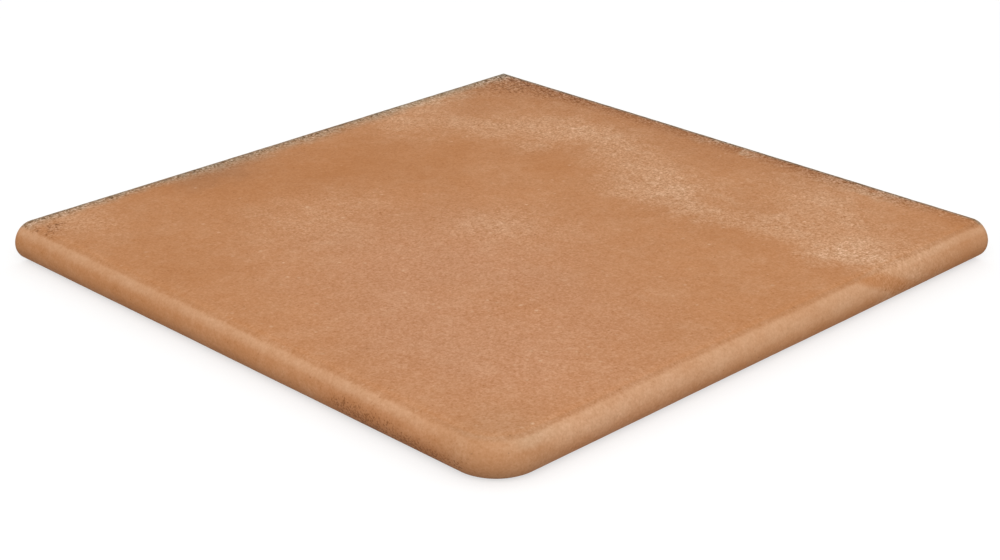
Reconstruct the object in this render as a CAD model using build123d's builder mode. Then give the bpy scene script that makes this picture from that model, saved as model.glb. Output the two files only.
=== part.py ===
"""Corner step tile: one pressed and fired stoneware tread with a round nose on two sides that meet.

Frame: +Z up, origin under the centre of the square, level with the foot of the nose.
The nosed sides face -Y (front) and +X (right), and meet at the rounded outside corner.
The plain sides face -X (left) and +Y (back), where the neighbouring tiles butt against it.
"""

import os
from math import radians, tan

from build123d import *

# Driving dimensions, in millimetres and degrees
side = 330.0  # length of each side, from the front of a nose to the plain side opposite
tread_thickness = 13.0  # tread behind the nose
nose_drop = 6.5  # how far the nose reaches down below the tread
nose_land = 0.3  # upright strip between the upper and the lower round of the nose
nose_foot = 7.5  # flat underside of the nose, from its round to its back wall
wall_draft = 8.0  # lean of the nose's back wall, so that the piece leaves its die
recess_corner = 6.0  # inside corner of the recess behind the nose, seen from below
root_cove = 2.0  # cove between the back wall and the bedding face
arris = 0.8  # eased edges of the two plain sides
key_cell = 25.0  # side of one keying cell, sunk into the bedding face for the adhesive
key_rib = 4.0  # rib between two keying cells
key_depth = 0.8  # how deep a cell is sunk
key_draft = 15.0  # lean of a cell's walls
key_margin = 8.0  # least plain border round the field of cells

# Sizes that follow from the driving ones
tile_height = tread_thickness + nose_drop
nose_round = (tile_height - nose_land) / 2
foot_edge = 2 * arris  # the inner edge of the nose's foot is eased twice as much
foot_inner = recess_corner + nose_drop * tan(radians(wall_draft))
corner_radius = foot_inner + nose_foot + nose_round  # the nose keeps its width round the corner
corner_centre = side / 2 - corner_radius  # the corner turns about (corner_centre, -corner_centre)
straight_run = side - corner_radius
bed_side = side - corner_radius + recess_corner - root_cove
bed_shift = (side - bed_side) / 2  # the bedding face lies off centre, away from both noses
key_pitch = key_cell + key_rib
key_count = int((bed_side - 2 * key_margin + key_rib) // key_pitch)

corner_axis = Axis((corner_centre, -corner_centre, 0), (0, 0, 1))
section_plane = Plane(origin=(corner_centre, -corner_centre, 0), x_dir=(0, -1, 0), z_dir=(-1, 0, 0))
diagonal_plane = Plane(origin=(0, 0, 0), z_dir=(1, 1, 0))

with BuildPart() as tile:
    # Section across the nose, from the line through the corner's centre out to the round
    with BuildSketch(section_plane) as nose_section:
        with BuildLine():
            Polyline(
                (0, tile_height),
                (corner_radius, tile_height),
                (corner_radius, 0),
                (foot_inner, 0),
                (recess_corner, nose_drop),
                (0, nose_drop),
                close=True,
            )
        make_face()
        fillet(nose_section.vertices().group_by(Axis.X)[-1], radius=nose_round)
        inner_edge = nose_section.vertices().sort_by_distance((foot_inner, 0))[0]
        fillet(inner_edge, radius=foot_edge)
        root = nose_section.vertices().sort_by_distance((recess_corner, nose_drop))[0]
        fillet(root, radius=root_cove)

    # Nose along the front, its mirror image up the right side, and the turn between them
    extrude(amount=straight_run)
    mirror(about=diagonal_plane)
    revolve(nose_section.sketch, axis=corner_axis, revolution_arc=90)

    # Tread behind the nose
    with BuildSketch(Plane.XY.offset(nose_drop)):
        with Locations((-corner_radius / 2, corner_radius / 2)):
            Rectangle(straight_run, straight_run)
    extrude(amount=tread_thickness)

    # Eased edges of the two plain sides
    left_side = tile.faces().filter_by(Axis.X).sort_by(Axis.X)[0]
    back_side = tile.faces().filter_by(Axis.Y).sort_by(Axis.Y)[-1]
    fillet(left_side.edges() + back_side.edges(), radius=arris)

    # Keying cells, sunk into the bedding face
    with BuildSketch(Plane.XY.offset(nose_drop)):
        with Locations((-bed_shift, bed_shift)):
            with GridLocations(key_pitch, key_pitch, key_count, key_count):
                Rectangle(key_cell, key_cell)
    extrude(amount=key_depth, taper=key_draft, mode=Mode.SUBTRACT)

tile.part.label = "corner_step_tile"
os.makedirs("parts", exist_ok=True)
export_step(tile.part, "parts/corner_step_tile.step")
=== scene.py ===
"""A fired-clay corner step tile and a plain studio around it, laid out as a Blender add-on.

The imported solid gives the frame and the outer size: +Z up, round noses towards -Y (front) and +X (right),
plain sides towards -X (left) and +Y (back). Sizes are in metres. Places on the fired face are in
millimetres.
"""

import math

import bmesh
import bpy
from mathutils import Matrix, Vector


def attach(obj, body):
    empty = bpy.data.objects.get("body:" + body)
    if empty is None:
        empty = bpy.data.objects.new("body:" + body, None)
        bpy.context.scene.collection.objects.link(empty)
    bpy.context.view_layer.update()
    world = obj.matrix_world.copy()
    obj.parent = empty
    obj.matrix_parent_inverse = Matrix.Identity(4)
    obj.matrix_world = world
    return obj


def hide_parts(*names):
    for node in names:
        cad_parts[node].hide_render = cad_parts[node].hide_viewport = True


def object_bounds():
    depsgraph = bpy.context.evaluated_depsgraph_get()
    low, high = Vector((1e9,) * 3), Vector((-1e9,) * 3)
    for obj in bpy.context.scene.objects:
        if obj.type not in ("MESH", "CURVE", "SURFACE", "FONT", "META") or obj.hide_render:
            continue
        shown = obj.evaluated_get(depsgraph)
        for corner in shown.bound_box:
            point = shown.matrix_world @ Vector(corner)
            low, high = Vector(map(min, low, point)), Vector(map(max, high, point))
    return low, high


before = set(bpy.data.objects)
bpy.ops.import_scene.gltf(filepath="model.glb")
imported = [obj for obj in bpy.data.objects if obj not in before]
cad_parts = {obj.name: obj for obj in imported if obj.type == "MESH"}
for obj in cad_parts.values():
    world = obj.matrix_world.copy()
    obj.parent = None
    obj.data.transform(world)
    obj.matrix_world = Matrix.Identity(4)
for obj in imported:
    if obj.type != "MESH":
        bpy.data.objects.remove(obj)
CAD_LOW, CAD_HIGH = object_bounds()

bl_info = {
    "name": "Corner Step Tile",
    "version": (1, 0, 0),
    "blender": (4, 5, 0),
    "location": "3D View > Sidebar > Step Tile",
    "description": "Builds a fired-clay corner step tile and a plain studio around it",
    "category": "Add Mesh",
}

SOLID_NODE = "corner_step_tile"
TILE_PIECE = "fired_tile"
TILE_SLOT = "fired_clay"
BODY = "root"
MM = 0.001

# Mesh steps along the nose's section, from the tread round to the bedding face
NOSE_STEPS = {"flat": 10, "round": 26, "foot": 3, "foot_edge": 3, "wall": 2, "cove": 3}
NOSE_STEPS_IN_ALL = sum(NOSE_STEPS.values())
ARRIS_STEPS = 3
END_CENTRE = 12.0 * MM  # a nose's cut end is a fan of faces round a point this far out from the tread
HALF_STEP = 0.5
RIM_STEPS = 0.25  # an edge that leaves the rim has its middle half a step in
WELD = 0.01 * MM

# Relief of the face: widths of its hollows, and the noise values over which they grow to their full depth
SAG_WIDTH = 85.0 * MM
DIMPLE_WIDTH = 9.0 * MM
HOLLOW_RANGE = (0.25, 0.75)
WEAR_LENGTH = 11.0 * MM  # length of a worn stretch of an edge
WEAR_REACH = 2.5 * MM  # how far in from the edge the wear goes
WEAR_RANGE = (0.45, 0.75)


def display(red, green, blue):
    """A colour given as it looks on screen, from 0 to 255, as the linear colour that Blender works with."""
    shares = (value / 255 for value in (red, green, blue))
    return tuple(share / 12.92 if share <= 0.04045 else ((share + 0.055) / 1.055) ** 2.4 for share in shares)


class Term:
    """A value in a node tree. Arithmetic on it adds Math nodes, so a formula reads as it is written."""

    def __init__(self, wires, socket):
        self.wires = wires
        self.socket = socket

    def __add__(self, other):
        return self.wires.math("ADD", self, other)

    def __radd__(self, other):
        return self.wires.math("ADD", other, self)

    def __sub__(self, other):
        return self.wires.math("SUBTRACT", self, other)

    def __rsub__(self, other):
        return self.wires.math("SUBTRACT", other, self)

    def __mul__(self, other):
        return self.wires.math("MULTIPLY", self, other)

    def __rmul__(self, other):
        return self.wires.math("MULTIPLY", other, self)

    def __truediv__(self, other):
        return self.wires.math("DIVIDE", self, other)


class Wires:
    """Adds nodes to one tree and links them. Works for geometry trees and for shader trees."""

    def __init__(self, tree):
        self.tree = tree

    def feed(self, socket, value):
        """Links a term to an input, or sets the input to a plain value."""
        if isinstance(value, Term):
            self.tree.links.new(value.socket, socket)
        elif socket.type == "RGBA" and len(value) == 3:
            socket.default_value = (*value, 1.0)
        else:
            socket.default_value = value

    def node(self, kind, inputs=(), **settings):
        """Adds a node, with its inputs given by name or number."""
        node = self.tree.nodes.new(kind)
        for name, value in settings.items():
            setattr(node, name, value)
        for name, value in dict(inputs).items():
            self.feed(node.inputs[name], value)
        return node

    def out(self, kind, inputs=(), output=0, **settings):
        """Adds a node and gives one of its outputs."""
        return Term(self, self.node(kind, inputs, **settings).outputs[output])

    def math(self, operation, *values):
        return self.out("ShaderNodeMath", enumerate(values), operation=operation)

    def sine(self, angle):
        return self.math("SINE", angle)

    def cosine(self, angle):
        return self.math("COSINE", angle)

    def tangent(self, angle):
        return self.math("TANGENT", angle)

    def absolute(self, value):
        return self.math("ABSOLUTE", value)

    def least(self, one, other):
        return self.math("MINIMUM", one, other)

    def most(self, one, other):
        return self.math("MAXIMUM", one, other)

    def above(self, value, limit):
        return self.math("GREATER_THAN", value, limit)

    def ramp(self, value, start, end, smooth=False):
        """0 up to start, 1 from end on, and a straight or an S-shaped rise between them."""
        limits = enumerate((value, start, end))
        rise = "SMOOTHSTEP" if smooth else "LINEAR"
        return self.out("ShaderNodeMapRange", limits, interpolation_type=rise)

    def fade(self, value, start, end):
        """1 up to start, 0 from end on, and an S-shaped fall between them."""
        limits = enumerate((value, start, end, 1.0, 0.0))
        return self.out("ShaderNodeMapRange", limits, interpolation_type="SMOOTHSTEP")

    def vector(self, x, y, z):
        return self.out("ShaderNodeCombineXYZ", enumerate((x, y, z)))

    def parts(self, vector):
        node = self.node("ShaderNodeSeparateXYZ", {0: vector})
        return [Term(self, output) for output in node.outputs]

    def vector_math(self, operation, *values):
        return self.out("ShaderNodeVectorMath", enumerate(values), operation=operation)

    def scaled(self, vector, factor):
        return self.out("ShaderNodeVectorMath", {"Vector": vector, "Scale": factor}, operation="SCALE")

    def noise(self, at, size, seed, detail=2.0, roughness=0.5, output=0):
        """Soft noise. Its largest blots are about as wide as size, in the place's own units."""
        inputs = {"Vector": at, "W": seed, "Scale": 1 / size, "Detail": detail, "Roughness": roughness}
        return self.out("ShaderNodeTexNoise", inputs, output, noise_dimensions="4D")

    def mix(self, factor, under, over):
        """A colour over another one. Inputs 6 and 7 and output 2 are the node's colours."""
        inputs = {0: factor, 6: under, 7: over}
        return self.out("ShaderNodeMix", inputs, 2, data_type="RGBA")


def fresh_wires(owner):
    """Wires for a material's or a world's own tree, which is emptied first."""
    owner.use_nodes = True
    owner.node_tree.nodes.clear()
    return Wires(owner.node_tree)


def in_scene(name, data):
    """A new object at the scene's origin, with its data."""
    thing = bpy.data.objects.new(name, data)
    bpy.context.scene.collection.objects.link(thing)
    return thing


def a_length(name, value, description):
    return bpy.props.FloatProperty(
        name=name, description=description, default=value, min=0.0, unit="LENGTH", precision=5
    )


def a_colour(name, value, description):
    return bpy.props.FloatVectorProperty(
        name=name, description=description, default=display(*value), size=3, subtype="COLOR", min=0.0, max=1.0
    )


def an_angle(name, degrees, description):
    return bpy.props.FloatProperty(
        name=name, description=description, default=math.radians(degrees), subtype="ANGLE"
    )


class TileForm(bpy.types.PropertyGroup):
    """The tile's sizes."""

    side: a_length("Side", CAD_HIGH.x - CAD_LOW.x, "Length of each side, over the nose")
    height: a_length("Height", CAD_HIGH.z - CAD_LOW.z, "Height of the nose, from its foot to the tread")
    drop: a_length("Drop", 6.5 * MM, "Reach of the nose below the bedding face")
    nose_round: a_length("Nose Round", 9.6 * MM, "Radius of the round of the nose")
    nose_foot: a_length("Nose Foot", 7.5 * MM, "Flat underside of the nose, up to its back wall")
    wall_draft: an_angle("Wall Draft", 8.0, "Lean of the nose's back wall")
    foot_edge: a_length("Foot Edge", 1.6 * MM, "Round of the inner edge of the foot")
    root_cove: a_length("Root Cove", 2.0 * MM, "Cove between the back wall and the bedding face")
    recess_corner: a_length("Recess Corner", 6.0 * MM, "Inside corner of the recess behind the nose")
    arris: a_length("Arris", 0.8 * MM, "Eased edges of the two plain sides")
    key_cell: a_length("Key Cell", 25.0 * MM, "Side of one keying cell in the bedding face")
    key_rib: a_length("Key Rib", 4.0 * MM, "Rib between two keying cells")
    key_depth: a_length("Key Depth", 0.8 * MM, "Depth of a keying cell")
    key_draft: an_angle("Key Draft", 15.0, "Lean of a keying cell's walls")
    sag: a_length("Sag", 0.14 * MM, "Depth of the broad hollows in the face")
    dimple: a_length("Dimple", 0.06 * MM, "Depth of the small hollows in the face")
    edge_wear: a_length("Edge Wear", 0.1 * MM, "Most that is worn off the edges of the plain sides")
    key_count: bpy.props.IntProperty(
        name="Key Count", description="Keying cells along each side", default=10, min=1
    )
    tread_steps: bpy.props.IntProperty(
        name="Tread Steps", description="Mesh faces along the tread, up to the nose", default=240, min=20
    )


class TileFinish(bpy.types.PropertyGroup):
    """The colours of the fired clay."""

    clay: a_colour("Clay", (191, 132, 86), "Fired face, as most of it is")
    rosy: a_colour("Rosy Clay", (195, 139, 100), "Pinker face towards the outside corner")
    warm: a_colour("Warm Shade", (185, 123, 74), "Deeper shade where the fire was hotter")
    # Also laid as the painted highlight along the noses and as painted light on the arris
    haze: a_colour("Pale Haze", (227, 189, 155), "Pale bloom over the face")
    smoke: a_colour("Smoke", (108, 72, 42), "Dark dots where smoke settled")
    edge_brown: a_colour("Brown Edge", (140, 89, 53), "Red-brown shade along the back edge")
    # Also the colour of the painted shade line along the edges
    edge_dark: a_colour("Dark Edge", (82, 78, 65), "Dark dots and line along the plain edges")
    # Also laid as painted shade where the tread turns into the noses
    edge_grey: a_colour("Grey Edge", (163, 146, 121), "Grey bloom along the plain edges")
    edge_pale: a_colour("Pale Edge", (222, 198, 168), "Pale flares along the plain edges")
    scorch: a_colour("Scorch", (142, 71, 0), "Scorched patch low on the front nose")
    soot: a_colour("Soot", (84, 42, 8), "Dark grains in the scorched patch")
    # Painted shade: this colour darkens the noses where the tread turns into them and low on the front one
    painted_nose_shade: a_colour("Painted Nose Shade", (155, 104, 70), "Browner clay low on the noses")
    body: a_colour("Raw Body", (188, 145, 112), "Clay body on the plain sides and underneath")


class StudioSetup(bpy.types.PropertyGroup):
    """The camera and the light."""

    azimuth: an_angle("Azimuth", 45.581, "Turn of the camera, from the front towards the right")
    elevation: an_angle("Elevation", 22.957, "Angle of the camera above the floor")
    roll: an_angle("Roll", -0.351, "Tilt of the camera about its line of sight")
    distance: a_length("Distance", 1.034465, "From the camera to the middle of the tile's underside")
    lens: bpy.props.FloatProperty(
        name="Lens", description="Focal length for a 36 mm wide frame", default=77.485, unit="CAMERA"
    )
    dome: bpy.props.FloatProperty(
        name="Dome", description="Strength of the even light from all round", default=0.7, min=0.0
    )
    lamp: bpy.props.FloatProperty(
        name="Lamp", description="Brightness of the lamp, where 1 looks white", default=2.36, min=0.0
    )


FORM_SOCKETS = {"key_count": "NodeSocketInt", "tread_steps": "NodeSocketInt"}


def form_names():
    """The tile's sizes, which are also the inputs of its geometry tree."""
    return list(TileForm.__annotations__)


def section_run(wires, run):
    """How much of each stretch of the nose's section lies behind a mesh step, from 0 to 1."""
    done = {}
    start = 0
    for stretch, steps in NOSE_STEPS.items():
        done[stretch] = wires.ramp(run, start, start + steps)
        start += steps
    return done


def tile_sheet(wires, size):
    """The fired surface in one sheet: tread, both noses, the turn between them, foot, back wall and cove.

    Gives the sheet, the columns counted from the left side, the rows counted from the back side, and the
    seat that a point of the rim gets when the plain sides are closed.
    """
    count = size["tread_steps"] + NOSE_STEPS_IN_ALL
    grid = wires.out(
        "GeometryNodeMeshGrid",
        {"Size X": count, "Size Y": count, "Vertices X": count + 1, "Vertices Y": count + 1},
    )
    grid_x, grid_y, _ = wires.parts(wires.out("GeometryNodeInputPosition"))
    column = grid_x + count / 2
    row = count / 2 - grid_y

    # Steps past the tread's edge, and the way that the nose faces there: the turn is a fan round the corner
    over_right = wires.most(column - size["tread_steps"], 0.0)
    over_front = wires.most(row - size["tread_steps"], 0.0)
    run = wires.most(over_right, over_front)
    fan = wires.least(over_right, over_front) / wires.most(run, 1.0) * (math.pi / 4)
    on_right = wires.above(over_right, over_front)
    along = wires.cosine(fan)
    aside = wires.sine(fan)
    way_x = on_right * along + (1 - on_right) * aside
    way_y = 0 - (on_right * aside + (1 - on_right) * along)

    lean = math.pi / 2 - size["wall_draft"]
    half_lean = wires.tangent(lean / 2)
    foot_inner = size["recess_corner"] + size["drop"] * wires.tangent(size["wall_draft"])
    turn_radius = foot_inner + size["nose_foot"] + size["nose_round"]
    foot_flat = size["nose_foot"] - size["foot_edge"] * half_lean
    wall = size["drop"] / wires.sine(lean) - (size["foot_edge"] + size["root_cove"]) * half_lean

    # Distance in from a plain side, and how far its eased edge lies below the full section
    def from_side(steps):
        ease = wires.least(steps, ARRIS_STEPS) * (math.pi / 2 / ARRIS_STEPS)
        flat = wires.ramp(steps, ARRIS_STEPS, size["tread_steps"])
        inset = size["arris"] * (1 - wires.cosine(ease))
        inset = inset + (size["side"] - turn_radius - size["arris"]) * flat
        return inset, size["arris"] * (1 - wires.sine(ease))

    from_left, eased_left = from_side(column)
    from_back, eased_back = from_side(row)

    # The upright edge between the two plain sides is as round as their other edges
    into_left = wires.most(size["arris"] - from_left, 0.0)
    into_back = wires.most(size["arris"] - from_back, 0.0)
    slant = wires.math("SQRT", into_left * into_left + into_back * into_back)
    cut_back = 1 - wires.most(into_left, into_back) / wires.most(slant, WELD)
    cut_back = cut_back * wires.above(slant, WELD)
    tread_x = from_left + into_left * cut_back - size["side"] / 2
    tread_y = size["side"] / 2 - from_back - into_back * cut_back

    # The nose's section, out from the tread's edge and up from the foot
    done = section_run(wires, run)
    round_turn = done["round"] * math.pi
    edge_turn = lean * done["foot_edge"]
    cove_turn = lean * done["cove"]
    out = (
        (turn_radius - size["nose_round"]) * done["flat"]
        + size["nose_round"] * wires.sine(round_turn)
        - foot_flat * done["foot"]
        - size["foot_edge"] * wires.sine(edge_turn)
        - wall * wires.cosine(lean) * done["wall"]
        - size["root_cove"] * (wires.sine(lean) - wires.sine(lean - cove_turn))
    )
    up = (
        size["height"] / 2 * (1 + wires.cosine(round_turn))
        + size["foot_edge"] * (1 - wires.cosine(edge_turn))
        + wall * wires.sine(lean) * done["wall"]
        + size["root_cove"] * (wires.cosine(lean - cove_turn) - wires.cosine(lean))
    )
    place = wires.vector(tread_x + out * way_x, tread_y + out * way_y, up)
    facing = round_turn + edge_turn - cove_turn
    level = wires.sine(facing)
    normal = wires.vector(level * way_x, level * way_y, wires.cosine(facing))

    # Hollows of the pressed and dried face, and wear on the plain sides' edges, all of them inwards
    near_side = wires.least(from_left, from_back)
    sagging = wires.noise(place, SAG_WIDTH, seed=1.0, detail=1.0)
    dimples = wires.noise(place, DIMPLE_WIDTH, seed=2.0)
    wear = wires.noise(place, WEAR_LENGTH, seed=4.0, detail=3.0)
    hollow = (
        size["sag"] * wires.ramp(sagging, *HOLLOW_RANGE)
        + size["dimple"] * wires.ramp(dimples, *HOLLOW_RANGE)
        + size["edge_wear"] * wires.ramp(wear, *WEAR_RANGE) * wires.fade(near_side, 0.0, WEAR_REACH)
    )
    sunk = (wires.most(eased_left, eased_back) + hollow) * (1 - done["foot"])
    surface = wires.vector_math("SUBTRACT", place, wires.scaled(normal, sunk))

    # A rim point drops to the bedding face, or on a nose's cut end goes to the middle of the fan
    in_fan = wires.above(run, HALF_STEP) * (1 - wires.above(run, NOSE_STEPS_IN_ALL - HALF_STEP))
    centre = in_fan * END_CENTRE
    seat_up = size["drop"] + in_fan * (size["height"] / 2 - size["drop"])
    seat = wires.vector(tread_x + centre * way_x, tread_y + centre * way_y, seat_up)

    kept = wires.node("GeometryNodeCaptureAttribute", {"Geometry": grid}, domain="POINT")
    for kind, name, value in (("FLOAT", "Column", column), ("FLOAT", "Row", row), ("VECTOR", "Seat", seat)):
        kept.capture_items.new(kind, name)
        wires.feed(kept.inputs[name], value)
    sheet = wires.out(
        "GeometryNodeSetPosition", {"Geometry": Term(wires, kept.outputs["Geometry"]), "Position": surface}
    )
    return sheet, *(Term(wires, kept.outputs[name]) for name in ("Column", "Row", "Seat"))


def close_sides(wires, sheet, column, row, seat):
    """The sheet with its two plain sides and the nose's cut ends closed."""
    on_side = wires.most(1 - wires.above(column, RIM_STEPS), 1 - wires.above(row, RIM_STEPS))
    edges = {"Mesh": sheet, "Selection": on_side, "Offset Scale": 0.0}
    sides = wires.node("GeometryNodeExtrudeMesh", edges, mode="EDGES")
    walled = wires.out(
        "GeometryNodeSetPosition",
        {
            "Geometry": Term(wires, sides.outputs["Mesh"]),
            "Selection": Term(wires, sides.outputs["Top"]),
            "Position": seat,
        },
    )
    flat_sides = {"Geometry": walled, "Selection": Term(wires, sides.outputs["Side"]), "Shade Smooth": False}
    shaded = wires.out("GeometryNodeSetShadeSmooth", flat_sides)
    return wires.out("GeometryNodeMergeByDistance", {"Geometry": shaded, "Distance": WELD})


def key_points(wires, size, middle):
    """The middles of the keying cells, as the points of a square field."""
    field = (size["key_count"] - 1) * (size["key_cell"] + size["key_rib"])
    counts = {"Vertices X": size["key_count"], "Vertices Y": size["key_count"]}
    points = wires.out("GeometryNodeMeshGrid", {"Size X": field, "Size Y": field, **counts})
    return wires.out("GeometryNodeTransform", {"Geometry": points, "Translation": middle})


def on_points(wires, points, shape):
    copies = wires.out("GeometryNodeInstanceOnPoints", {"Points": points, "Instance": shape})
    return wires.out("GeometryNodeRealizeInstances", {"Geometry": copies})


def joined(wires, *meshes):
    node = wires.node("GeometryNodeJoinGeometry")
    for mesh in meshes:
        wires.tree.links.new(mesh.socket, node.inputs[0])
    return Term(wires, node.outputs[0])


def bedding_face(wires, size, walled):
    """The flat face under the tread, inside the walled sheet's rim, with keying cells sunk into it."""
    faces_beside = wires.out("GeometryNodeInputMeshEdgeNeighbors")
    on_rim = 1 - wires.above(faces_beside, 1.0)
    rim = wires.out("GeometryNodeMeshToCurve", {"Mesh": walled, "Selection": on_rim})
    rim_size = wires.node("GeometryNodeBoundBox", {"Geometry": rim})
    low = Term(wires, rim_size.outputs["Min"])
    high = Term(wires, rim_size.outputs["Max"])
    middle = wires.scaled(wires.vector_math("ADD", low, high), 0.5)
    points = key_points(wires, size, middle)

    outline = {"Width": size["key_cell"], "Height": size["key_cell"]}
    openings = on_points(wires, points, wires.out("GeometryNodeCurvePrimitiveQuadrilateral", outline))
    plate = wires.out("GeometryNodeFillCurve", {"Curve": joined(wires, rim, openings)})
    lift = wires.vector(0.0, 0.0, size["drop"])
    plate = wires.out("GeometryNodeTransform", {"Geometry": plate, "Translation": lift})

    tops = {"Size X": size["key_cell"], "Size Y": size["key_cell"], "Vertices X": 2, "Vertices Y": 2}
    lids = on_points(wires, points, wires.out("GeometryNodeMeshGrid", tops))
    lifting = {"Mesh": lids, "Offset Scale": size["key_depth"], "Individual": True}
    cells = wires.node("GeometryNodeExtrudeMesh", lifting, mode="FACES")
    narrowing = size["key_depth"] * 2 * wires.tangent(size["key_draft"]) / size["key_cell"]
    sunk = wires.out(
        "GeometryNodeScaleElements",
        {
            "Geometry": Term(wires, cells.outputs["Mesh"]),
            "Selection": Term(wires, cells.outputs["Top"]),
            "Scale": 1 - narrowing,
        },
        domain="FACE",
    )
    face = joined(wires, plate, sunk)
    return wires.out("GeometryNodeSetShadeSmooth", {"Geometry": face, "Shade Smooth": False})


def form_tree(material):
    """The geometry tree of the whole tile, with its sizes as named inputs."""
    tree = bpy.data.node_groups.new("step_tile_form", "GeometryNodeTree")
    tree.interface.new_socket("Geometry", in_out="OUTPUT", socket_type="NodeSocketGeometry")
    for name in form_names():
        kind = FORM_SOCKETS.get(name, "NodeSocketFloat")
        tree.interface.new_socket(name, in_out="INPUT", socket_type=kind)
    wires = Wires(tree)
    group_input = wires.node("NodeGroupInput")
    size = {name: Term(wires, group_input.outputs[name]) for name in form_names()}

    sheet, column, row, seat = tile_sheet(wires, size)
    smooth = wires.out("GeometryNodeSetShadeSmooth", {"Geometry": sheet, "Shade Smooth": True})
    walled = close_sides(wires, smooth, column, row, seat)
    whole = joined(wires, walled, bedding_face(wires, size, walled))
    welded = wires.out("GeometryNodeMergeByDistance", {"Geometry": whole, "Distance": WELD})
    real = wires.out("GeometryNodeRealizeInstances", {"Geometry": welded})
    dressed = wires.node("GeometryNodeSetMaterial", {"Geometry": real})
    dressed.inputs["Material"].default_value = material
    wires.node("NodeGroupOutput", {"Geometry": Term(wires, dressed.outputs[0])})
    return tree


def formed_mesh(name, tree, form):
    """Runs the geometry tree with the tile's sizes, and gives its result as a plain, closed mesh."""
    carrier = in_scene(name, bpy.data.meshes.new(name + "_carrier"))
    modifier = carrier.modifiers.new("form", "NODES")
    modifier.node_group = tree
    for socket in tree.interface.items_tree:
        if socket.in_out == "INPUT":
            modifier[socket.identifier] = getattr(form, socket.name)
    depsgraph = bpy.context.evaluated_depsgraph_get()
    mesh = bpy.data.meshes.new_from_object(carrier.evaluated_get(depsgraph), depsgraph=depsgraph)
    carrier.modifiers.remove(modifier)
    carrier.data = mesh
    mesh.name = name

    surface = bmesh.new()
    surface.from_mesh(mesh)
    bmesh.ops.recalc_face_normals(surface, faces=surface.faces)
    open_edges = sum(not edge.is_manifold for edge in surface.edges)
    surface.to_mesh(mesh)
    surface.free()
    if open_edges:
        raise RuntimeError(f"{name} is not closed: {open_edges} open edges")
    return carrier


# Soft patches of the fired face: middle x and y, half length and half width in millimetres, turn in degrees,
# and strength
HAZE_PATCHES = (
    (-150, 82, 22, 26, 0, 0.35),
    (-140, 62, 14, 9, 0, 0.3),
    (-102, 94, 34, 16, 35, 0.55),
    (-58, 124, 40, 18, -5, 0.62),
    (-66, 96, 9, 18, 0, 0.4),
    (-2, 102, 34, 20, -30, 0.38),
    (38, 90, 32, 17, -25, 0.65),
    (12, 74, 20, 10, 0, 0.3),
    (92, 92, 24, 14, 0, 0.45),
    (82, 76, 26, 7, 0, 0.25),
    (86, 134, 36, 20, -25, 0.48),
    (112, 120, 14, 10, 0, 0.3),
    (142, 86, 27, 16, 0, 0.8),
    (148, 114, 28, 20, 0, 0.25),
    (2, 0, 24, 22, 0, 0.35),
    (-72, -62, 36, 24, 0, 0.25),
    (-80, -26, 18, 12, 0, 0.2),
    (-145, -137, 26, 13, 0, 0.35),
)
WARM_PATCHES = (
    (-54, 97, 8, 8, 0, 0.5),
    (-36, 80, 26, 12, -15, 0.75),
    (-84, 56, 24, 16, 40, 0.5),
    (-68, 24, 28, 18, 0, 0.4),
    (-114, 0, 34, 40, 0, 0.9),
    (-120, -60, 32, 28, 0, 0.7),
    (-152, -82, 11, 14, 0, 0.7),
    (-62, -135, 44, 20, 0, 0.4),
    (-126, -132, 20, 13, 0, 0.3),
    (68, -62, 28, 16, 0, 0.35),
    (122, -72, 18, 12, 0, 0.25),
    (58, 60, 24, 10, 0, 0.35),
    (98, 67, 70, 8, 0, 0.5),
    (152, 70, 18, 7, 0, 0.6),
    (158, 154, 18, 12, 0, 0.6),
)
ROSY_PATCHES = (
    (20, -55, 90, 70, 0, 0.9),
    (100, -100, 80, 60, 0, 0.9),
)
SMOKE_PATCHES = (
    (-126, 158, 32, 10, 0, 0.65),
    (-150, 146, 18, 15, 0, 0.65),
    (-148, -154, 9, 5, 0, 0.8),
)
SALT_PATCHES = (
    (-160, 160, 13, 11, 0, 0.9),
    (-158, 112, 7, 30, 0, 0.25),
    (-154, -148, 10, 8, 0, 0.25),
)
FLARE_PATCHES = (
    (-160, 104, 5, 26, 0, 0.6),
    (-4, 160, 10, 4, 0, 0.65),
    (17, 161, 12, 3, 0, 0.9),
    (102, 158, 24, 6, 0, 0.7),
)
SHADE_PATCHES = (
    (-154, -52, 16, 28, 0, 0.9),
    (-157, 136, 7, 22, 0, 0.35),
    (-136, 118, 26, 20, 0, 0.22),
)
SCREEN_POWER = 2.2  # about the power between a colour as it looks on screen and the linear one
GRAIN_TINT = (0.92, 1.0, 1.12)  # a pale grain lifts blue a little more than red
NOISE_MIDDLE = 0.5  # the value that noise varies about

# Noise in the clay: width of its largest blots in millimetres, seed and detail
GRAIN_NOISE = {
    "Mottle": (34, 11, 3),
    "Cloud": (13, 16, 3),
    "Clumps": (5, 15, 2),
    "Grain": (0.9, 12, 1),
    "Flecks": (1.5, 14, 2),
}
NOISE_ROUGHNESS = 0.6

# Single spots in the clay: spacing and radius in millimetres, and the share of places that have one
GRAIN_SPOTS = {
    "Specks": (4.6, 1, 0.5),
    "Pits": (5, 0.7, 0.2),
}
SPOT_SIZES = (0.6, 1.4)  # reach of the weakest and of the strongest spots, in radii
SPOT_CORE = 0.15  # share of its reach where a spot is full

# Noise that pushes the outlines of patches about: width, seed, detail, roughness and push, in millimetres
DRIFTS = (
    (60, 21, 2, 0.5, 15),
    (18, 22, 5, 0.65, 48),
)

DOT_LIMITS = (0.22, 0.5)  # noise values below which a grain is a dot, at a density of 0 and of 1
DOT_SOFTNESS = 0.05
PLAIN_UNREST = 0.8  # how far the grain stands out on plain clay
RAW_UNREST = 1.5
TREAD_Z = (17.0, 18.6)  # heights where the tread begins


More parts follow.
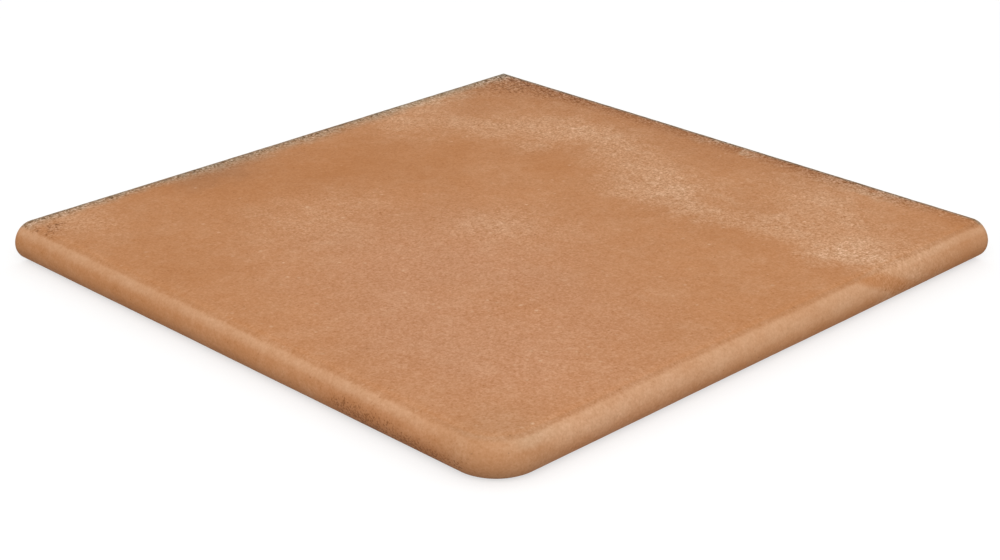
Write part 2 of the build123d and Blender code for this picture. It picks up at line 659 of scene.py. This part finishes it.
def patch_group():
    """Shader group: a soft oval patch, full in its middle and gone beyond its rim."""
    tree = bpy.data.node_groups.new("soft_patch", "ShaderNodeTree")
    sockets = {
        "At": "Vector",
        "Middle": "Vector",
        "Half Length": "Float",
        "Half Width": "Float",
        "Turn": "Float",
    }
    for name, kind in sockets.items():
        tree.interface.new_socket(name, in_out="INPUT", socket_type="NodeSocket" + kind)
    tree.interface.new_socket("Mask", in_out="OUTPUT", socket_type="NodeSocketFloat")
    wires = Wires(tree)
    group_input = wires.node("NodeGroupInput")
    at, middle, half_length, half_width, turn = (Term(wires, group_input.outputs[name]) for name in sockets)
    x, y, _ = wires.parts(wires.vector_math("SUBTRACT", at, middle))
    along = (x * wires.cosine(turn) + y * wires.sine(turn)) / half_length
    across = (y * wires.cosine(turn) - x * wires.sine(turn)) / half_width
    mask = wires.math("EXPONENT", 0 - (along * along + across * across))
    wires.node("NodeGroupOutput", {"Mask": mask})
    return tree


def scattered(wires, at, spacing, radius, share):
    """Single round spots, from small and weak to large and strong, at a share of a loose field's places."""
    field = wires.node("ShaderNodeTexVoronoi", {"Vector": at, "Scale": 1 / spacing, "Randomness": 1.0})
    chance, _, _ = wires.parts(Term(wires, field.outputs["Color"]))
    strength = wires.ramp(chance, 1 - share, 1.0)
    smallest, largest = SPOT_SIZES
    reach = (smallest + (largest - smallest) * strength) * (radius / spacing)
    return strength * wires.fade(Term(wires, field.outputs["Distance"]) / reach, SPOT_CORE, 1.0)


def grain_group():
    """Shader group: the grain of pressed clay, from broad mottling to single grains, pale specks and pits."""
    tree = bpy.data.node_groups.new("clay_grain", "ShaderNodeTree")
    tree.interface.new_socket("At", in_out="INPUT", socket_type="NodeSocketVector")
    wires = Wires(tree)
    at = Term(wires, wires.node("NodeGroupInput").outputs["At"])
    masks = {}
    for name, (width, seed, detail) in GRAIN_NOISE.items():
        masks[name] = wires.noise(at, width, seed, detail, NOISE_ROUGHNESS)
    for name, (spacing, radius, share) in GRAIN_SPOTS.items():
        masks[name] = scattered(wires, at, spacing, radius, share)
    group_output = wires.node("NodeGroupOutput")
    for name, mask in masks.items():
        tree.interface.new_socket(name, in_out="OUTPUT", socket_type="NodeSocketFloat")
        wires.feed(group_output.inputs[name], mask)
    return tree


def drifted(wires, at):
    """The place, pushed about by noise, so that patches get cloudy outlines."""
    middle = (NOISE_MIDDLE,) * 3
    place = at
    for width, seed, detail, roughness, push in DRIFTS:
        noise = wires.noise(at, width, seed, detail, roughness, output=1)
        swing = wires.vector_math("SUBTRACT", noise, middle)
        place = wires.vector_math("ADD", place, wires.scaled(swing, push))
    return place


class Ground:
    """Where a point of the clay lies, in millimetres, and what the grain is like there."""

    def __init__(self, wires, form, finish):
        self.wires = wires
        self.finish = {name: tuple(getattr(finish, name)) for name in TileFinish.__annotations__}
        self.at = wires.scaled(wires.out("ShaderNodeTexCoord", output="Object"), 1 / MM)
        self.x, self.y, self.z = wires.parts(self.at)
        half_side = form.side / MM / 2
        self.from_left = self.x + half_side
        self.from_back = half_side - self.y
        self.from_edge = wires.least(self.from_left, self.from_back)
        self.below_top = form.height / MM - self.z
        self.on_tread = wires.ramp(self.z, *TREAD_Z, smooth=True)
        self.recess_side = half_side - (form.nose_foot + form.nose_round) / MM
        self.patch = patch_group()
        self.cloud = drifted(wires, self.at)
        grains = wires.node("ShaderNodeGroup", {"At": self.at}, node_tree=grain_group())
        self.grain = {output.name: Term(wires, output) for output in grains.outputs}
        self.face = self.finish["clay"]
        self.unrest = PLAIN_UNREST

    def patches(self, places):
        """All patches of one shade, added up."""
        total = 0.0
        for x, y, half_length, half_width, turn, strength in places:
            shape = {
                "At": self.cloud,
                "Middle": (x, y, 0.0),
                "Half Length": half_length,
                "Half Width": half_width,
                "Turn": math.radians(turn),
            }
            total = self.wires.out("ShaderNodeGroup", shape, node_tree=self.patch) * strength + total
        return self.wires.least(total, 1.0)

    def dots(self, density, grain="Flecks"):
        """Fine dots on the dark grains: none where the density is 0, and half of the face where it is 1."""
        none, half = DOT_LIMITS
        limit = none + (half - none) * density
        return self.wires.ramp(limit - self.grain[grain], -DOT_SOFTNESS, DOT_SOFTNESS)

    def swings(self, weights):
        """How far noises stand above their middle value, each times its own weight, added up."""
        total = 0.0
        for name, weight in weights.items():
            total = weight * (self.grain[name] - NOISE_MIDDLE) + total
        return total

    def stir(self, amount):
        """Makes the grain stand out more."""
        self.unrest = amount + self.unrest

    def calm(self, share):
        """Takes a share of the grain's strength away."""
        self.unrest = self.unrest * (1 - share)

    def lifted(self, colour, step):
        """The colour made lighter by about the same step in all three channels, as they look on screen."""
        wires = self.wires
        seen = wires.out("ShaderNodeGamma", {"Color": colour, "Gamma": 1 / SCREEN_POWER})
        lighter = wires.vector_math("ADD", seen, wires.scaled(GRAIN_TINT, step))
        return wires.out("ShaderNodeGamma", {"Color": lighter, "Gamma": SCREEN_POWER})

    def lay(self, mask, shade):
        """Lays one of the finish's shades over the face."""
        self.face = self.wires.mix(mask, self.face, self.finish[shade])


# The cloudy face: shares of its shades, and how much more the grain stands out in them
HAZE_SHARE = 0.45
CLOUD_VEIL = 0.1
CLUMP_VEIL = 0.08
SMOKE_SHARE = 0.35
SMOKE_DOTS = 0.52
FACE_STIRS = {"rosy": 0.52, "warm": -0.34, "haze": 2.9, "smoke": 2.5}
HAZE_EVEN = 0.3  # share of the haze that noise leaves even
HAZE_BROKEN = 0.7
CLOUD_TOPS = (0.45, 0.75)  # noise values over which a pale veil comes in
CLUMP_TOPS = (0.5, 0.8)
VEIL_LOSS = 0.7  # share of the veil that a warm shade takes away
MOTTLING = 0.12


def fired_face(ground):
    """The cloudy shades of the face: rosy clay, warm belts, pale haze in fine grains, and smoke."""
    wires = ground.wires
    grain = ground.grain
    rosy = ground.patches(ROSY_PATCHES)
    ground.lay(rosy, "rosy")
    warm = ground.patches(WARM_PATCHES)
    ground.lay(warm, "warm")
    broken = HAZE_BROKEN * (grain["Clumps"] + grain["Cloud"])
    haze = ground.patches(HAZE_PATCHES) * (HAZE_EVEN + broken)
    cloud_veil = CLOUD_VEIL * wires.ramp(grain["Cloud"], *CLOUD_TOPS)
    clump_veil = CLUMP_VEIL * wires.ramp(grain["Clumps"], *CLUMP_TOPS)
    veil = (cloud_veil + clump_veil) * (1 - VEIL_LOSS * warm)
    ground.lay(HAZE_SHARE * haze + veil, "haze")
    smoke = ground.patches(SMOKE_PATCHES)
    ground.lay(SMOKE_SHARE * smoke, "edge_brown")
    ground.lay(SMOKE_DOTS * ground.dots(smoke), "smoke")
    for name, mask in {"rosy": rosy, "warm": warm, "haze": haze, "smoke": smoke}.items():
        ground.stir(FACE_STIRS[name] * mask)
    ground.face = wires.scaled(ground.face, 1 + ground.swings({"Mottle": MOTTLING}))


# Shades of the noses: bands in millimetres where they come in or go out along x, y or z, and their shares
RIGHT_X = (110, 150)
CORNER_Y = (-150, -115)
BELOW_TREAD_Z = (17.2, 18.5)
# Painted shade where the tread turns into the nose
SHOULDER_Z = (18.6, 19.2)
# Painted highlight along the round of the noses
SHEEN_Z = (12.5, 16.6)
BLOOM_Z = (5.5, 13.5)
BLOOM_END_Y = (85, 130)
STREAK_BAND = (3, 13)
ASH_Y = (-155, -143)
ASH_Z = (12.5, 16.0)
# Painted shade low on the front nose
LOW_Z = (4, 11)
SINGED_Z = (6.0, 13.5)
# Grey and brown shares of the painted shade where the tread turns into the nose; CORNER_GREY greys the turned
# corner
SHOULDER_GREY = 0.06
RIGHT_GREY = 0.05
CORNER_GREY = 0.14
SHOULDER_BROWN = 0.07
# Shares of the painted highlight: more on the right nose, less round the corner
SHEEN_SHARE = 0.27
RIGHT_SHEEN = 0.05
CORNER_SHEEN_LOSS = 0.26
BLOOM_SHARE = 0.32
BLOOM_END_LOSS = 0.5
STREAK_SHARE = 0.55
STREAK_LOSS = 0.85
ASH_SHARE = 0.24
LOW_SHARE = 0.24
SINGED_SHARE = 0.2
RIGHT_SINGED_LOSS = 0.85
NOSE_CALM = 0.3  # share of the grain's strength that the noses lack
CLOUD_EVEN = 0.2
CLOUD_BROKEN = 0.6
STREAK_SHAPE = (0.2, 0.2, 1.0)  # streaks run along the noses, five times as long as they are high
STREAK_HEIGHT = 4
SINGED_STREAKS = (0.5, 0.66)  # noise values over which a streak is singed
WARM_STREAK_Y = 71  # where the warm streak leaves the tread for the right nose
WARM_STREAK_LEAN = 2.1  # how far it goes along the nose for each millimetre down


def nose_shades(ground):
    """Painted highlight along the round of both noses and painted shade where the tread turns into them, pale
    bloom and a warm streak on the right one, painted shade low on the front one, singed brown streaks.
    """
    wires = ground.wires
    along_nose = wires.vector_math("MULTIPLY", ground.at, STREAK_SHAPE)
    streaks = wires.noise(along_nose, STREAK_HEIGHT, seed=41.0, detail=3.0, roughness=NOISE_ROUGHNESS)
    cloud = CLOUD_EVEN + CLOUD_BROKEN * ground.grain["Cloud"] + streaks
    on_right = wires.ramp(ground.x, *RIGHT_X, smooth=True)
    turning = on_right * wires.fade(ground.y, *CORNER_Y)
    below_tread = wires.fade(ground.z, *BELOW_TREAD_Z)

    # Painted shade where the tread turns into the nose, darkened against the lamp's light
    painted_shoulder_shade = wires.fade(ground.z, *SHOULDER_Z) * (1 - below_tread)
    right_grey = RIGHT_GREY * painted_shoulder_shade + CORNER_GREY * turning
    ground.lay(SHOULDER_GREY * painted_shoulder_shade + right_grey * on_right, "edge_grey")
    ground.lay(SHOULDER_BROWN * painted_shoulder_shade, "painted_nose_shade")

    from_streak = ground.y - WARM_STREAK_Y - WARM_STREAK_LEAN * ground.below_top
    streak = on_right * wires.fade(wires.absolute(from_streak), *STREAK_BAND)
    # Painted highlight: a pale band along the round of both noses stands in for a lamp's sheen; the bloom on
    # the right nose is its own paler colour
    painted_sheen_share = SHEEN_SHARE + RIGHT_SHEEN * on_right - CORNER_SHEEN_LOSS * turning
    painted_sheen = wires.ramp(ground.z, *SHEEN_Z, smooth=True) * painted_sheen_share
    bloom_end = BLOOM_END_LOSS * wires.ramp(ground.y, *BLOOM_END_Y)
    bloom_share = BLOOM_SHARE * (on_right * (1 - bloom_end) - turning)
    bloom = wires.ramp(ground.z, *BLOOM_Z, smooth=True) * bloom_share
    pale = below_tread * wires.most(painted_sheen, bloom) * (1 - STREAK_LOSS * streak)
    ground.lay(pale * cloud, "haze")
    ground.calm(NOSE_CALM * below_tread)
    ground.lay(STREAK_SHARE * streak * below_tread, "warm")
    ash = turning * below_tread * wires.ramp(ground.y, *ASH_Y, smooth=True)
    ash = ash * wires.ramp(ground.z, *ASH_Z, smooth=True)
    ground.lay(ASH_SHARE * ash * cloud, "edge_pale")

    # Painted shade: the front nose darkens towards its foot
    low = wires.fade(ground.z, *LOW_Z) * (1 - on_right)
    ground.lay(LOW_SHARE * low * cloud, "painted_nose_shade")
    singed = wires.fade(ground.z, *SINGED_Z) * wires.ramp(streaks, *SINGED_STREAKS)
    singed = singed * (1 - RIGHT_SINGED_LOSS * on_right)
    ground.lay(SINGED_SHARE * singed, "edge_brown")


# The scorch has a core and a trail: bands in millimetres along x where each comes in and goes out, and up z
SCORCH_PARTS = (
    ((52, 78), (94, 126), (8.5, 17)),
    ((84, 116), (134, 162), (6, 13.5)),
)
FRONT_NOSE_Y = (-158, -150)
SCORCH_EVEN = 0.2
SCORCH_BROKEN = 1.6
SCORCH_SHARE = 0.28
SOOT_SHARE = 0.38
SOOT_DENSITY = 0.9


def front_scorch(ground):
    """The scorch low on the front nose: a brown cloud full of dark grains, which trails off to the corner."""
    wires = ground.wires
    cloud = 0.0
    for coming, going, height in SCORCH_PARTS:
        part = wires.ramp(ground.x, *coming, smooth=True) * wires.fade(ground.x, *going)
        cloud = wires.most(part * wires.fade(ground.z, *height), cloud)
    on_front = wires.fade(ground.y, *FRONT_NOSE_Y)
    cloud = cloud * on_front * (SCORCH_EVEN + SCORCH_BROKEN * ground.grain["Cloud"])
    ground.lay(SCORCH_SHARE * cloud, "scorch")
    ground.lay(SOOT_SHARE * ground.dots(SOOT_DENSITY * cloud, "Grain"), "soot")


# Flashing of the plain edges: widths and what adds to them, bands where it comes in or goes out, and shares
LEFT_WIDTH = 9
LEFT_CLUMPS = 5
LEFT_MIDDLE_WIDTH = 6
LEFT_DARK_WIDTH = 6
LEFT_DARK_CLUMPS = 4
BACK_DARK_WIDTH = 3.5
BACK_DARK_CLUMPS = 3
LEFT_MIDDLE_BAND = (45, 95)
LEFT_ASH_BAND = (20, 60)
LEFT_DARK_END_Y = (60, 110)
BACK_BAND = (1, 16)
BACK_GREY_BAND = (0.5, 4.0)
BACK_END_X = (115, 145)
DUSK_BAND = (8, 45)
DUSK_END_X = (60, 100)
INSIDE_BAND = (1, 3)
# Bands of the painted shade line just in from the edges, then of the painted light on the arris
LINE_IN = (1.2, 3.0)
LINE_OUT = (0.6, 1.2)
ARRIS_LIFT_BAND = (0.5, 1.1)
DUSK_SHARE = 0.14
BROWN_SHARE = 0.5
SHADE_SHARE = 0.44
LEFT_GREY = 0.62
LEFT_ASH = 0.2
BACK_GREY = 0.58
SHADE_GREY = 0.06
MOST_GREY = 0.8
FLARE_SHARE = 0.32
SALT_SHARE = 0.3
DARK_SHARE = 0.14
DOTS_SHARE = 0.45
LINE_SHARE = 0.42
ARRIS_LIFT_SHARE = 0.3
LEFT_DOTS = 0.45
BACK_DOTS = 0.3
DARK_DOTS = 0.5
SALT_DOTS = 0.7
EDGE_STIRS = {"left": 3.0, "dark": 2.5, "back": 2.5, "salt": 2.5, "flare": 2.0}
EDGE_CLUMP_WIDTH = 26
EDGE_CLUMP_RANGE = (0.36, 0.66)
LEFT_MIDDLE_Y = 5
LEFT_ASH_Y = 100
END_LOSS = 0.5  # share of the flashing that is lost towards the end of an edge
DARK_CORE = 0.1  # share of its width where the dark belt is full
PATCHY_EVEN = 0.3
PATCHY_BROKEN = 1.4
ARRIS_CALM = 0.5  # share of the grain's strength that the very edge lacks
ARRIS_DOTS = 0.4  # shares of the dots and of the dark line that stay there
ARRIS_LINE = 0.1
NOSE_LINE = 0.4  # share of the dark line that stays round the nose's cut ends


def edge_masks(ground):
    """Where the flashing of the plain edges lies: belts along the left and the back edge, and patches."""
    wires = ground.wires
    noise = wires.noise(ground.at, EDGE_CLUMP_WIDTH, seed=31.0, detail=4.0, roughness=NOISE_ROUGHNESS)
    clumps = wires.ramp(noise, *EDGE_CLUMP_RANGE)
    middle = wires.fade(wires.absolute(ground.y - LEFT_MIDDLE_Y), *LEFT_MIDDLE_BAND)
    left = LEFT_WIDTH + LEFT_CLUMPS * clumps + LEFT_MIDDLE_WIDTH * middle
    left_dark = LEFT_DARK_WIDTH + LEFT_DARK_CLUMPS * clumps
    back_dark = BACK_DARK_WIDTH + BACK_DARK_CLUMPS * clumps
    left_share = 1 - END_LOSS * wires.ramp(ground.y, *LEFT_DARK_END_Y)
    back_share = 1 - END_LOSS * wires.ramp(ground.x, *BACK_END_X)
    dark = wires.most(
        left_share * wires.fade(ground.from_left / left_dark, DARK_CORE, 1.0),
        back_share * wires.fade(ground.from_back / back_dark, DARK_CORE, 1.0),
    )
    masks = {
        "left": wires.fade(ground.from_left / left, 0.0, 1.0),
        "back": back_share * wires.fade(ground.from_back, *BACK_BAND),
        "back_grey": wires.fade(ground.from_back, *BACK_GREY_BAND),
        "dark": dark,
        "salt": ground.patches(SALT_PATCHES),
        "flare": ground.patches(FLARE_PATCHES),
        "shade": ground.patches(SHADE_PATCHES),
    }
    return {name: ground.on_tread * mask for name, mask in masks.items()}


def flashed_edges(ground):
    """The edges of the plain sides: brown shade, and grey bloom full of pale and dark grains."""
    wires = ground.wires
    masks = edge_masks(ground)
    left = masks["left"]
    back = masks["back"]
    patchy = PATCHY_EVEN + PATCHY_BROKEN * ground.grain["Clumps"]

    dusk = wires.fade(ground.from_back, *DUSK_BAND) * wires.fade(ground.x, *DUSK_END_X)
    brown = DUSK_SHARE * dusk + BROWN_SHARE * back * patchy + SHADE_SHARE * masks["shade"]
    ground.lay(brown, "edge_brown")
    ash = wires.fade(wires.absolute(ground.y - LEFT_ASH_Y), *LEFT_ASH_BAND)
    left_grey = (LEFT_GREY + LEFT_ASH * ash) * left
    grey = wires.most(left_grey, BACK_GREY * masks["back_grey"]) * patchy
    grey = wires.least(grey + SHADE_GREY * masks["shade"], MOST_GREY)
    ground.lay(grey, "edge_grey")
    ground.lay(FLARE_SHARE * masks["flare"] + SALT_SHARE * masks["salt"], "edge_pale")
    ground.lay(DARK_SHARE * masks["dark"], "edge_dark")

    inside = wires.ramp(ground.from_edge, *INSIDE_BAND)
    density = LEFT_DOTS * left + BACK_DOTS * back + DARK_DOTS * masks["dark"]
    density = density * (ARRIS_DOTS + (1 - ARRIS_DOTS) * inside) + SALT_DOTS * masks["salt"]
    ground.lay(DOTS_SHARE * ground.dots(density), "edge_dark")
    for name, stir in EDGE_STIRS.items():
        ground.stir(stir * masks[name])
    ground.calm(ARRIS_CALM * (1 - inside) * wires.most(left, back))


def edge_line(ground):
    """A soft dark line of painted shade along the edges of the plain sides, and painted light that makes
    their arris paler.
    """
    wires = ground.wires
    # Painted shade: a dark line just in from the edges, where they round away, weaker on the arris and round
    # the nose's cut ends
    off_arris = wires.ramp(ground.from_edge, *LINE_OUT)
    line = wires.fade(ground.from_edge, *LINE_IN) * (ARRIS_LINE + (1 - ARRIS_LINE) * off_arris)
    line = line * (NOSE_LINE + (1 - NOSE_LINE) * ground.on_tread)
    ground.lay(LINE_SHARE * line, "edge_dark")
    # Painted light: the arris, which faces away from the lamp, is laid paler to lift its shade
    painted_arris_lift = wires.fade(ground.from_edge, *ARRIS_LIFT_BAND)
    ground.lay(ARRIS_LIFT_SHARE * painted_arris_lift, "haze")


# Where the raw body goes out, in millimetres: in from the plain sides, up from the foot, up to the tread
CUT_BAND = (0.02, 0.12)
FOOT_Z = (0.2, 1.0)
RECESS_Z = (12, 13)
RECESS_BLEND = 0.5


def raw_share(ground):
    """1 where the raw body shows: on the plain sides, under the nose and in the recess behind it."""
    wires = ground.wires
    cut = wires.fade(ground.from_edge, *CUT_BAND)
    under = wires.fade(ground.z, *FOOT_Z)
    recess = ground.recess_side
    behind_right = wires.fade(ground.x, recess - RECESS_BLEND, recess)
    behind_front = wires.ramp(ground.y, -recess, RECESS_BLEND - recess)
    inside = behind_right * behind_front * wires.fade(ground.z, *RECESS_Z)
    return wires.most(cut, wires.most(under, inside))


# Grain of the whole tile: steps in lightness on screen, weights in its relief, and its gloss
FINE_STEPS = {"Grain": 0.16, "Flecks": 0.14}
BROAD_STEPS = {"Clumps": 0.025, "Cloud": 0.02}
PIT_STEP = 0.04
SPECK_SHARE = 0.66
SPECK_Z = (17.5, 19.0)
SPECK_MOTTLE = (0.4, 0.65)  # specks come in where the mottling is pale
BODY_CLUMPS = 0.3
RELIEF_WEIGHTS = {"Grain": 0.5, "Flecks": 0.5, "Pits": -0.8}
RELIEF_STRENGTH = 0.35
RELIEF_DEPTH = 0.12 * MM
ROUGHNESS = 0.64
FLECK_ROUGHNESS = 0.14
RAW_ROUGHNESS = 0.1
GLOSS = 0.12


def clay_material(finish, form):
    """The whole finish of the tile: fired face, shaded noses, flashed edges and raw body."""
    material = bpy.data.materials.new(TILE_SLOT)
    wires = fresh_wires(material)
    ground = Ground(wires, form, finish)
    grain = ground.grain

    for shading in (fired_face, nose_shades, front_scorch, flashed_edges, edge_line):
        shading(ground)
    speckled = wires.ramp(ground.z, *SPECK_Z) * wires.ramp(grain["Mottle"], *SPECK_MOTTLE)
    ground.lay(SPECK_SHARE * grain["Specks"] * speckled, "haze")
    body = wires.mix(BODY_CLUMPS * grain["Clumps"], ground.finish["body"], ground.finish["haze"])
    raw = raw_share(ground)
    unrest = ground.unrest * (1 - raw) + RAW_UNREST * raw
    step = unrest * ground.swings(FINE_STEPS) + ground.swings(BROAD_STEPS) - PIT_STEP * grain["Pits"]

    height = ground.swings(RELIEF_WEIGHTS)
    relief = {"Strength": RELIEF_STRENGTH, "Distance": RELIEF_DEPTH, "Height": height}
    surface = {
        "Base Color": ground.lifted(wires.mix(raw, ground.face, body), step),
        "Roughness": ROUGHNESS + FLECK_ROUGHNESS * grain["Flecks"] + RAW_ROUGHNESS * raw,
        "Specular IOR Level": GLOSS,
        "Normal": wires.out("ShaderNodeBump", relief),
    }
    wires.node("ShaderNodeOutputMaterial", {"Surface": wires.out("ShaderNodeBsdfPrincipled", surface)})
    return material


class STEPTILE_OT_tile(bpy.types.Operator):
    """Build the fired tile: tread, round noses, plain sides and keyed bedding face in one piece"""

    bl_idname = "step_tile.tile"
    bl_label = "Fired Tile"

    def execute(self, context):
        form = context.scene.step_tile_form
        material = clay_material(context.scene.step_tile_finish, form)
        tile = formed_mesh(TILE_PIECE, form_tree(material), form)
        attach(tile, BODY)
        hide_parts(SOLID_NODE)
        return {"FINISHED"}


FLOOR_SIZE = 8.0
FLOOR_GAP = 0.05 * MM
FLOOR_COLOUR = (0.46, 0.46, 0.46)
FLOOR_GLOW = 0.6  # the floor's own light in the picture, so that it is white where nothing shades it

LAMP_PLACE = (1.417, -1.389, 1.665)
LAMP_WIDTH = 2.4
LAMP_HEIGHT = 1.8

SHIFT_X = -0.000655  # shares of the picture's width
SHIFT_Y = -0.01832


def seen_rays(wires):
    """1 where a ray comes straight from the camera, or by way of a reflection or clear glass."""
    path = wires.node("ShaderNodeLightPath")
    camera, glossy, clear = (
        Term(wires, path.outputs[name]) for name in ("Is Camera Ray", "Is Glossy Ray", "Is Transmission Ray")
    )
    return wires.most(camera, wires.most(glossy, clear))


def white_world(dome):
    """A white background where it is seen, and an even dome of soft light for everything else."""
    world = bpy.data.worlds.new("studio")
    wires = fresh_wires(world)
    light = wires.out("ShaderNodeBackground", {"Color": (1.0, 1.0, 1.0), "Strength": dome})
    white = wires.out("ShaderNodeBackground", {"Color": (1.0, 1.0, 1.0), "Strength": 1.0})
    both = wires.out("ShaderNodeMixShader", enumerate((seen_rays(wires), light, white)))
    wires.node("ShaderNodeOutputWorld", {"Surface": both})
    return world


def pale_floor():
    """A wide pale floor under the tile, which keeps its shadow."""
    material = bpy.data.materials.new("pale_floor")
    wires = fresh_wires(material)
    matt = wires.out("ShaderNodeBsdfDiffuse", {"Color": FLOOR_COLOUR})
    glow = wires.out("ShaderNodeEmission", {"Strength": seen_rays(wires) * FLOOR_GLOW})
    both = wires.out("ShaderNodeAddShader", enumerate((matt, glow)))
    wires.node("ShaderNodeOutputMaterial", {"Surface": both})

    half = FLOOR_SIZE / 2
    level = CAD_LOW.z - FLOOR_GAP
    corners = [(-half, -half, level), (half, -half, level), (half, half, level), (-half, half, level)]
    mesh = bpy.data.meshes.new("floor")
    mesh.from_pydata(corners, [], [(0, 1, 2, 3)])
    mesh.materials.append(material)
    floor = in_scene("floor", mesh)


def soft_lamp(brightness):
    """A rectangular soft lamp that faces the tile. A brightness of 1 looks as bright as white."""
    lamp = bpy.data.lights.new("front_lamp", "AREA")
    lamp.shape = "RECTANGLE"
    lamp.size = LAMP_WIDTH
    lamp.size_y = LAMP_HEIGHT
    lamp.energy = brightness * math.pi * LAMP_WIDTH * LAMP_HEIGHT
    holder = in_scene("front_lamp", lamp)
    holder.location = LAMP_PLACE
    holder.rotation_euler = Vector(LAMP_PLACE).to_track_quat("Z", "Y").to_euler()
    holder.visible_camera = False


def photo_camera(setup):
    """The camera, aimed at the middle of the tile's underside and rolled about its line of sight."""
    data = bpy.data.cameras.new("camera")
    data.lens = setup.lens
    data.shift_x = SHIFT_X
    data.shift_y = SHIFT_Y
    camera = in_scene("camera", data)
    around = Matrix.Rotation(setup.azimuth, 4, "Z") @ Matrix.Rotation(math.pi / 2 - setup.elevation, 4, "X")
    away = Matrix.Rotation(setup.roll, 4, "Z") @ Matrix.Translation((0.0, 0.0, setup.distance))
    camera.matrix_world = around @ away
    bpy.context.scene.camera = camera


class STEPTILE_OT_studio(bpy.types.Operator):
    """Set up the pale floor, the soft lamp and the camera"""

    bl_idname = "step_tile.studio"
    bl_label = "Studio"

    def execute(self, context):
        setup = context.scene.step_tile_studio
        context.scene.view_settings.view_transform = "Standard"
        context.scene.world = white_world(setup.dome)
        pale_floor()
        soft_lamp(setup.lamp)
        photo_camera(setup)
        return {"FINISHED"}


class STEPTILE_PT_sidebar(bpy.types.Panel):
    """Sizes, colours and steps of the corner step tile"""

    bl_idname = "STEPTILE_PT_sidebar"
    bl_label = "Step Tile"
    bl_space_type = "VIEW_3D"
    bl_region_type = "UI"
    bl_category = "Step Tile"

    def draw(self, context):
        scene = context.scene
        for group in (scene.step_tile_form, scene.step_tile_finish, scene.step_tile_studio):
            column = self.layout.column(align=True)
            for name in type(group).__annotations__:
                column.prop(group, name)
        self.layout.operator(STEPTILE_OT_tile.bl_idname)
        self.layout.operator(STEPTILE_OT_studio.bl_idname)


CLASSES = (TileForm, TileFinish, StudioSetup, STEPTILE_OT_tile, STEPTILE_OT_studio, STEPTILE_PT_sidebar)


def register():
    for cls in CLASSES:
        bpy.utils.register_class(cls)
    bpy.types.Scene.step_tile_form = bpy.props.PointerProperty(type=TileForm)
    bpy.types.Scene.step_tile_finish = bpy.props.PointerProperty(type=TileFinish)
    bpy.types.Scene.step_tile_studio = bpy.props.PointerProperty(type=StudioSetup)


def unregister():
    del bpy.types.Scene.step_tile_studio
    del bpy.types.Scene.step_tile_finish
    del bpy.types.Scene.step_tile_form
    for cls in reversed(CLASSES):
        bpy.utils.unregister_class(cls)


def main():
    register()
    bpy.ops.step_tile.tile()
    bpy.ops.step_tile.studio()


if __name__ == "__main__":
    main()
